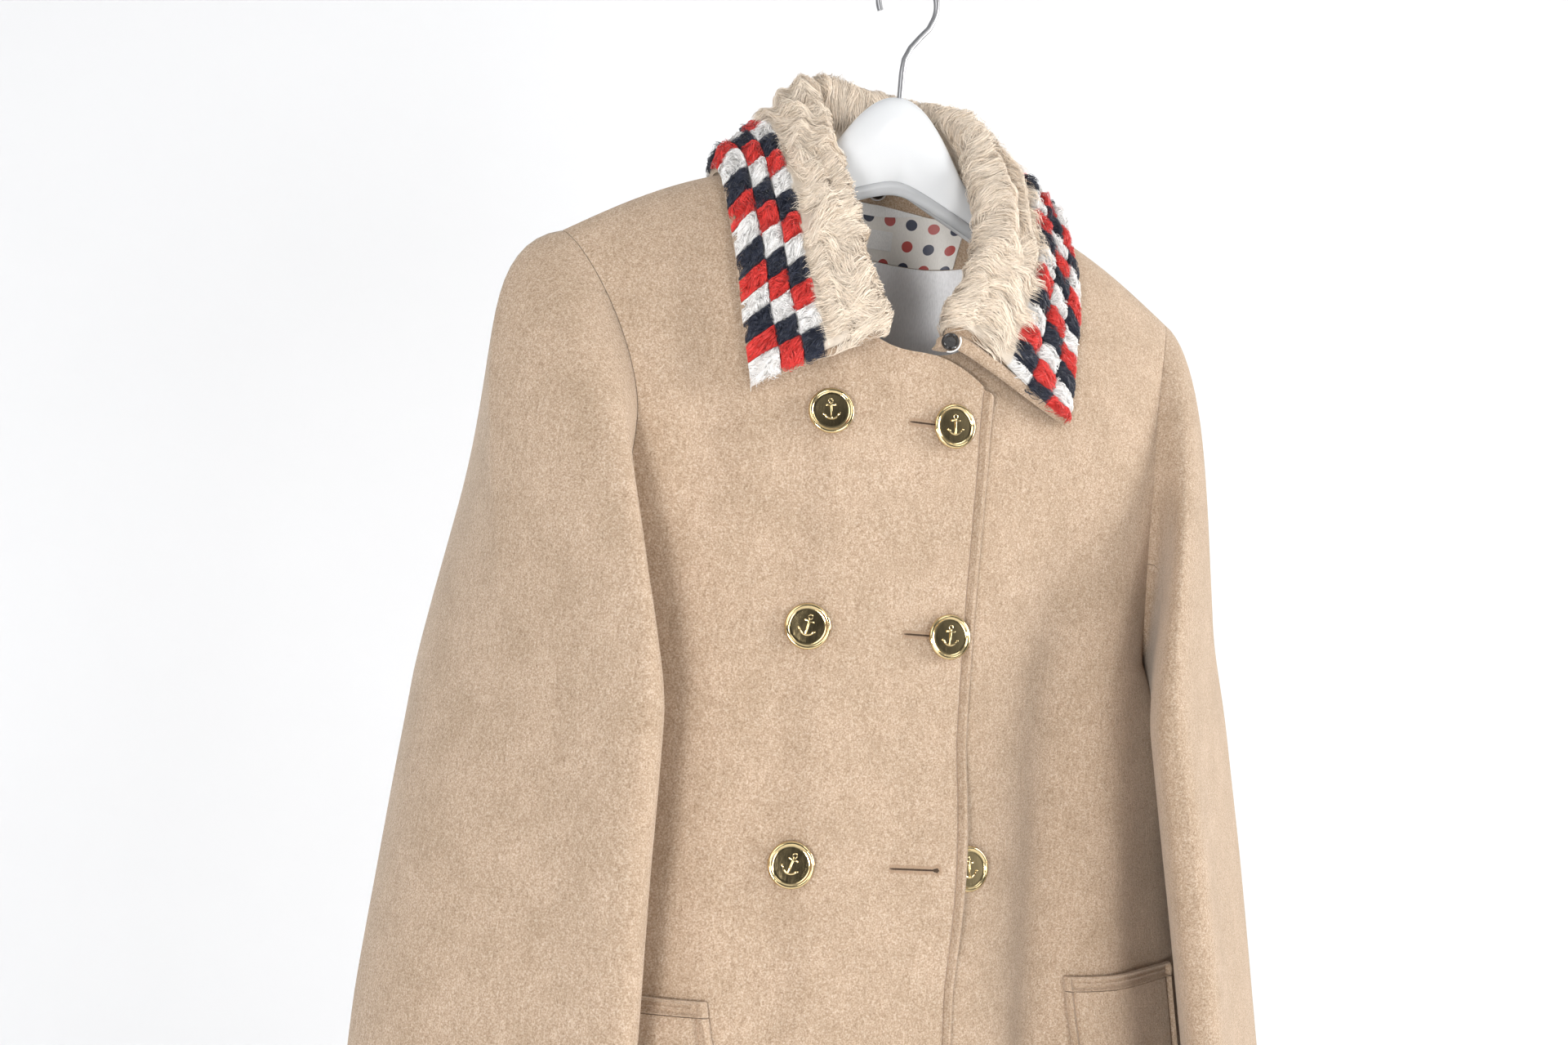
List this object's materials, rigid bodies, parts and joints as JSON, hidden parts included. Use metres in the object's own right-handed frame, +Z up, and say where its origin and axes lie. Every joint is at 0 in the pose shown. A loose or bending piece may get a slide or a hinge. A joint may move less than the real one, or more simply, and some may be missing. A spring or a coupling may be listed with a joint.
{
  "type": "fur-collared wool coat on a hanger",
  "caption": "Double-breasted wool coat with a buttoned-on fur collar, flap pockets and set-in sleeves, hanging open at the neck on a domed hanger.",
  "frame": {"origin": "inside top of the hanger's hook, where a rail carries it", "axes": "+Z up, the coat's front faces -Y, the wearer's right is at -X"},
  "size_m": [0.5817, 0.2397, 0.9513],
  "materials": {
    "camel_wool": "brushed wool nap",
    "cream_fur": "wavy fur",
    "border_fur": "curly fur in navy, white and red",
    "patterned_lining": "dotted satin",
    "plain_lining": "satin",
    "white_tape": "woven tape",
    "brass": "polished",
    "dark_plastic": "gloss",
    "white_plastic": "satin",
    "steel_wire": "drawn wire"
  },
  "bodies": {
    "root": {"hanger_body": "white_plastic", "hanger_hook": "steel_wire", "back_panel": "camel_wool", "right_front": "camel_wool", "left_front": "camel_wool", "right_top_sleeve": "camel_wool", "right_under_sleeve": "camel_wool", "left_top_sleeve": "camel_wool", "left_under_sleeve": "camel_wool", "under_collar": "camel_wool", "fur_collar": "cream_fur", "fur_border": "border_fur", "back_neck_facing": "camel_wool", "lining_yoke": "patterned_lining", "lining_back": "plain_lining", "hang_loop": "white_tape", "label": "white_tape", "pocket_welt_right": "camel_wool", "pocket_flap_right": "camel_wool", "pocket_welt_left": "camel_wool", "pocket_flap_left": "camel_wool", "button_right_1": "brass", "button_right_2": "brass", "button_right_3": "brass", "button_left_1": "brass", "button_left_2": "brass", "button_left_3": "brass", "collar_button_back": "dark_plastic", "collar_button_front": "dark_plastic", "collar_loop_back": "white_tape", "collar_loop_front": "white_tape"}
  },
  "joints": []
}
